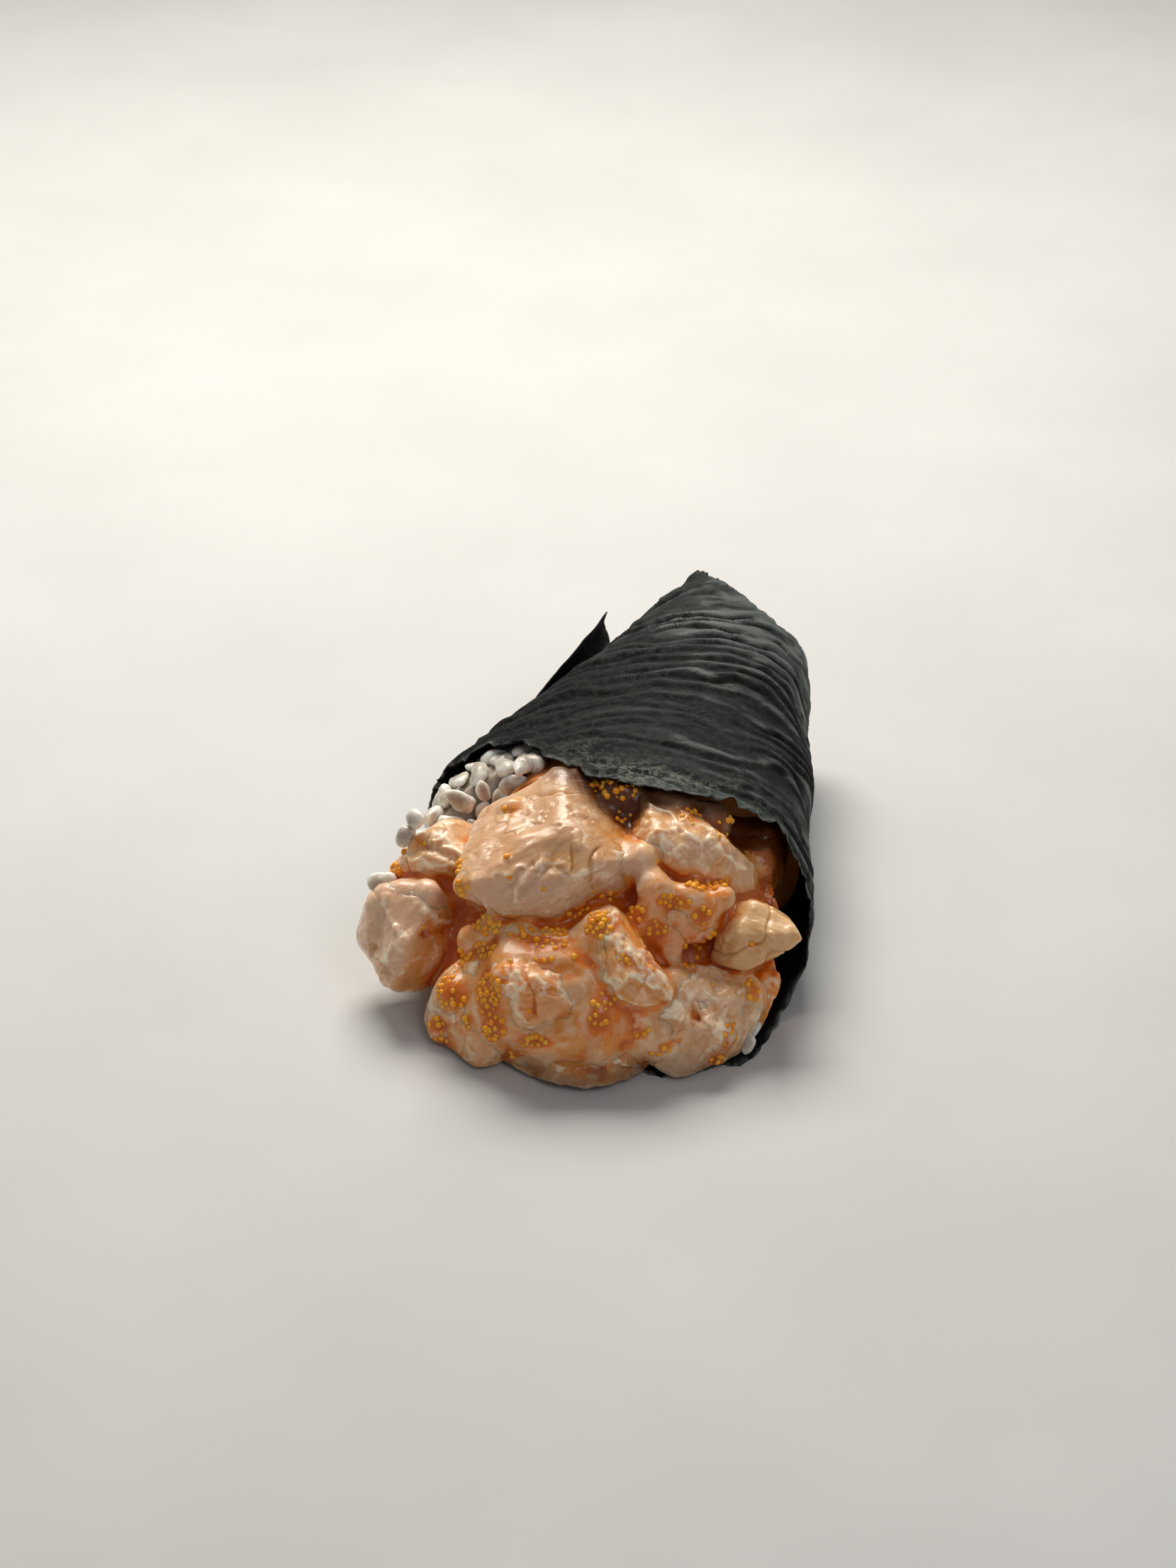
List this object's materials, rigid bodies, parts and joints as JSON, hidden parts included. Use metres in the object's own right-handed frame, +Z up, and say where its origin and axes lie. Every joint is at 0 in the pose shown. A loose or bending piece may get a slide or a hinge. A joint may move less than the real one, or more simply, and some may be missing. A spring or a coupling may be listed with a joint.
{
  "type": "temaki hand roll",
  "caption": "Cone of seaweed round a bed of rice, lying on its side, with dressed scallop pieces and orange fish roe heaped out of its wide mouth.",
  "frame": {"origin": "centre of the footprint, on the table", "axes": "+Z up, +Y along the roll from its open mouth to its narrow tail, +X to the right as seen from the mouth"},
  "size_m": [0.0986, 0.1554, 0.0497],
  "materials": {
    "nori": "satin",
    "rice": "gloss",
    "dressing": "gloss",
    "scallop": "gloss"
  },
  "bodies": {
    "root": {"nori_sheet": "nori", "rice_bed": "rice", "dressed_filling": "dressing", "scallop_front_wedge": "scallop", "scallop_front_ridge": "scallop", "scallop_right_tip": "scallop", "scallop_top": "scallop", "scallop_front": "scallop", "scallop_front_slab": "scallop", "scallop_low_right": "scallop", "scallop_right": "scallop", "scallop_right_under": "scallop", "scallop_low_left": "scallop", "scallop_left_slab": "scallop", "scallop_left_fold": "scallop", "scallop_right_edge": "scallop", "scallop_right_back": "scallop", "scallop_inside": "scallop"}
  },
  "joints": []
}
